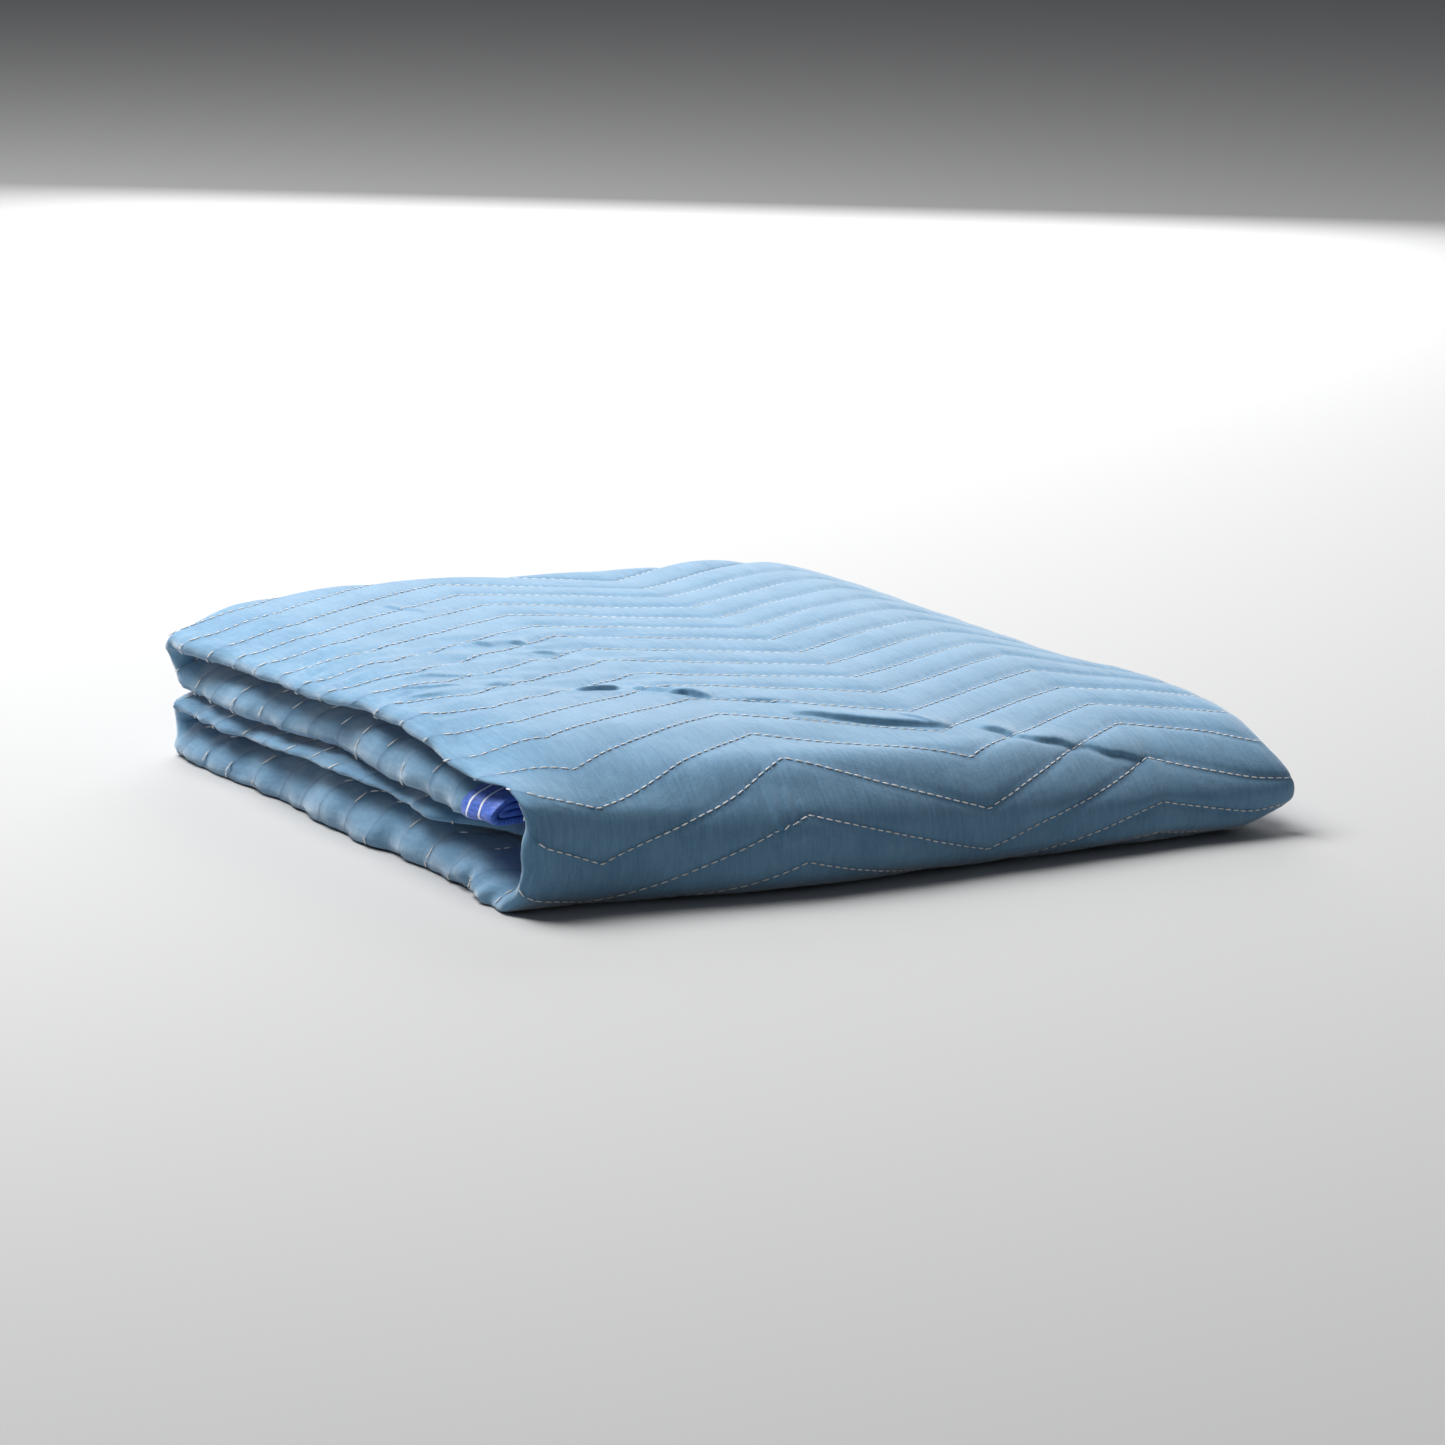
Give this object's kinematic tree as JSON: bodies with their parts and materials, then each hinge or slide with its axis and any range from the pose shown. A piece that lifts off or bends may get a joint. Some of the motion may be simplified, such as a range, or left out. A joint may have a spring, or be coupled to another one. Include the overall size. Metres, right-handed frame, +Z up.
{
  "type": "folded moving blanket",
  "caption": "Thick quilted moving blanket with zigzag stitch rows and bound edges, folded into a flat rectangular bundle with one wide wrapped front.",
  "frame": {"origin": "middle of the underside of the folded blanket's box", "axes": "+X along the wrapped front towards the closed right side, +Y from the wrapped front to the back turns, +Z up through the layers"},
  "size_m": [0.5198, 0.4844, 0.097],
  "materials": {
    "quilted_cloth": "matte nonwoven cloth, quilted in zigzag rows",
    "binding_tape": "woven polyester tape with two pale stripes"
  },
  "bodies": {
    "root": {"quilted_sheet": "quilted_cloth", "end_binding_upper": "binding_tape", "end_binding_lower": "binding_tape", "side_binding_first": "binding_tape", "side_binding_second": "binding_tape"}
  },
  "joints": []
}
